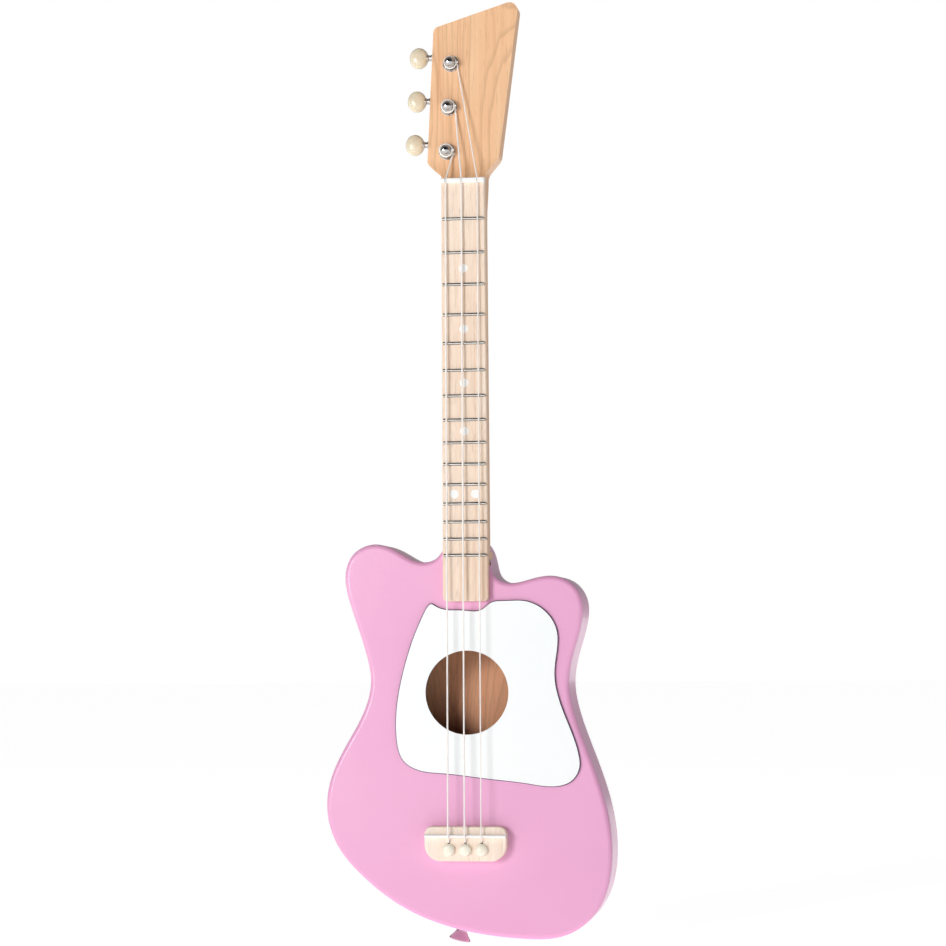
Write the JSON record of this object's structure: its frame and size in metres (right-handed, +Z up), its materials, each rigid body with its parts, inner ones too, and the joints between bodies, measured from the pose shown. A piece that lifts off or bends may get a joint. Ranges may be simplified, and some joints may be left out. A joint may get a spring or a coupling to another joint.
{
  "type": "mini guitar",
  "caption": "Small fretted guitar of ukulele size: hollow asymmetric body, bolt-on neck, slanted headstock with geared tuners along one side, and a pinned bridge.",
  "frame": {"origin": "on the neck's centreline, in the plane of the body's face, at the nut, where a hanger's yoke holds the neck under the headstock's flares", "axes": "+Z up along the neck towards the headstock, +X to the right as seen by a viewer in front, the face of the body looks towards -Y and its flat back towards +Y"},
  "size_m": [0.1633, 0.0466, 0.5386],
  "materials": {
    "pink_lacquer": "satin-gloss pink lacquer on wood",
    "interior_wood": "bare light plywood and pine",
    "pickguard_white": "gloss white sheet plastic",
    "neck_maple": "clear satin finish on maple",
    "fretboard_maple": "pale oiled maple",
    "fret_metal": "polished nickel silver",
    "white_plastic": "polished white plastic",
    "bridge_wood": "pale satin maple",
    "cream_plastic": "polished cream plastic",
    "nylon": "smooth clear-white nylon",
    "chrome": "bright chrome plate",
    "plated_steel": "nickel-plated steel",
    "brass": "machined brass"
  },
  "bodies": {
    "root": {"soundboard": "pink_lacquer", "side_rim": "pink_lacquer", "back_plate": "pink_lacquer", "front_lining": "interior_wood", "back_lining": "interior_wood", "neck_block": "interior_wood", "tail_block": "interior_wood", "soundboard_brace_upper": "interior_wood", "soundboard_brace_lower": "interior_wood", "back_brace": "interior_wood", "bridge_plate": "interior_wood", "pickguard": "pickguard_white", "neck": "neck_maple", "fretboard": "fretboard_maple", "frets": "fret_metal", "nut": "white_plastic", "saddle": "white_plastic", "fret_markers": "white_plastic", "bridge": "bridge_wood", "string_1": "nylon", "string_2": "nylon", "string_3": "nylon", "tuner_bushing_1": "chrome", "tuner_bushing_2": "chrome", "tuner_bushing_3": "chrome", "strap_button": "chrome", "tuner_base_plate_1": "plated_steel", "tuner_base_plate_2": "plated_steel", "tuner_base_plate_3": "plated_steel", "tuner_mounting_screws": "plated_steel", "strap_button_screw": "plated_steel", "neck_screws": "plated_steel", "neck_screw_ferrules": "plated_steel"},
    "tuner_key_1": {"tuner_button_1": "cream_plastic", "tuner_worm_shaft_1": "plated_steel"},
    "tuner_spindle_1": {"tuner_post_1": "chrome", "tuner_gear_1": "brass", "tuner_gear_screw_1": "plated_steel", "string_winding_1": "nylon"},
    "tuner_key_2": {"tuner_button_2": "cream_plastic", "tuner_worm_shaft_2": "plated_steel"},
    "tuner_spindle_2": {"tuner_post_2": "chrome", "tuner_gear_2": "brass", "tuner_gear_screw_2": "plated_steel", "string_winding_2": "nylon"},
    "tuner_key_3": {"tuner_button_3": "cream_plastic", "tuner_worm_shaft_3": "plated_steel"},
    "tuner_spindle_3": {"tuner_post_3": "chrome", "tuner_gear_3": "brass", "tuner_gear_screw_3": "plated_steel", "string_winding_3": "nylon"},
    "bridge_pin_1": {"bridge_pin_1": "cream_plastic"},
    "bridge_pin_2": {"bridge_pin_2": "cream_plastic"},
    "bridge_pin_3": {"bridge_pin_3": "cream_plastic"}
  },
  "joints": [
    {"name": "tuner_key_turn_1", "type": "hinge", "parent": "root", "child": "tuner_key_1", "pos_m": [-0.01494, 0.0178, 0.027], "axis": [1, 0, 0], "continuous": true},
    {"name": "tuner_post_turn_1", "type": "hinge", "parent": "root", "child": "tuner_spindle_1", "pos_m": [-0.00994, 0.005, 0.0194], "axis": [0, -1, 0], "continuous": true},
    {"name": "tuner_key_turn_2", "type": "hinge", "parent": "root", "child": "tuner_key_2", "pos_m": [-0.01364, 0.0178, 0.0526], "axis": [1, 0, 0], "continuous": true},
    {"name": "tuner_post_turn_2", "type": "hinge", "parent": "root", "child": "tuner_spindle_2", "pos_m": [-0.00864, 0.005, 0.045], "axis": [0, -1, 0], "continuous": true},
    {"name": "tuner_key_turn_3", "type": "hinge", "parent": "root", "child": "tuner_key_3", "pos_m": [-0.01234, 0.0178, 0.0782], "axis": [1, 0, 0], "continuous": true},
    {"name": "tuner_post_turn_3", "type": "hinge", "parent": "root", "child": "tuner_spindle_3", "pos_m": [-0.00734, 0.005, 0.0706], "axis": [0, -1, 0], "continuous": true},
    {"name": "bridge_pin_pull_1", "type": "slide", "parent": "root", "child": "bridge_pin_1", "axis": [0, -1, 0], "range_m": [0, 0.02]},
    {"name": "bridge_pin_pull_2", "type": "slide", "parent": "root", "child": "bridge_pin_2", "axis": [0, -1, 0], "range_m": [0, 0.02]},
    {"name": "bridge_pin_pull_3", "type": "slide", "parent": "root", "child": "bridge_pin_3", "axis": [0, -1, 0], "range_m": [0, 0.02]}
  ],
  "couplings": [
    {"joint": "tuner_post_turn_1", "follows": "tuner_key_turn_1", "ratio": 0.071429},
    {"joint": "tuner_post_turn_2", "follows": "tuner_key_turn_2", "ratio": 0.071429},
    {"joint": "tuner_post_turn_3", "follows": "tuner_key_turn_3", "ratio": 0.071429}
  ]
}
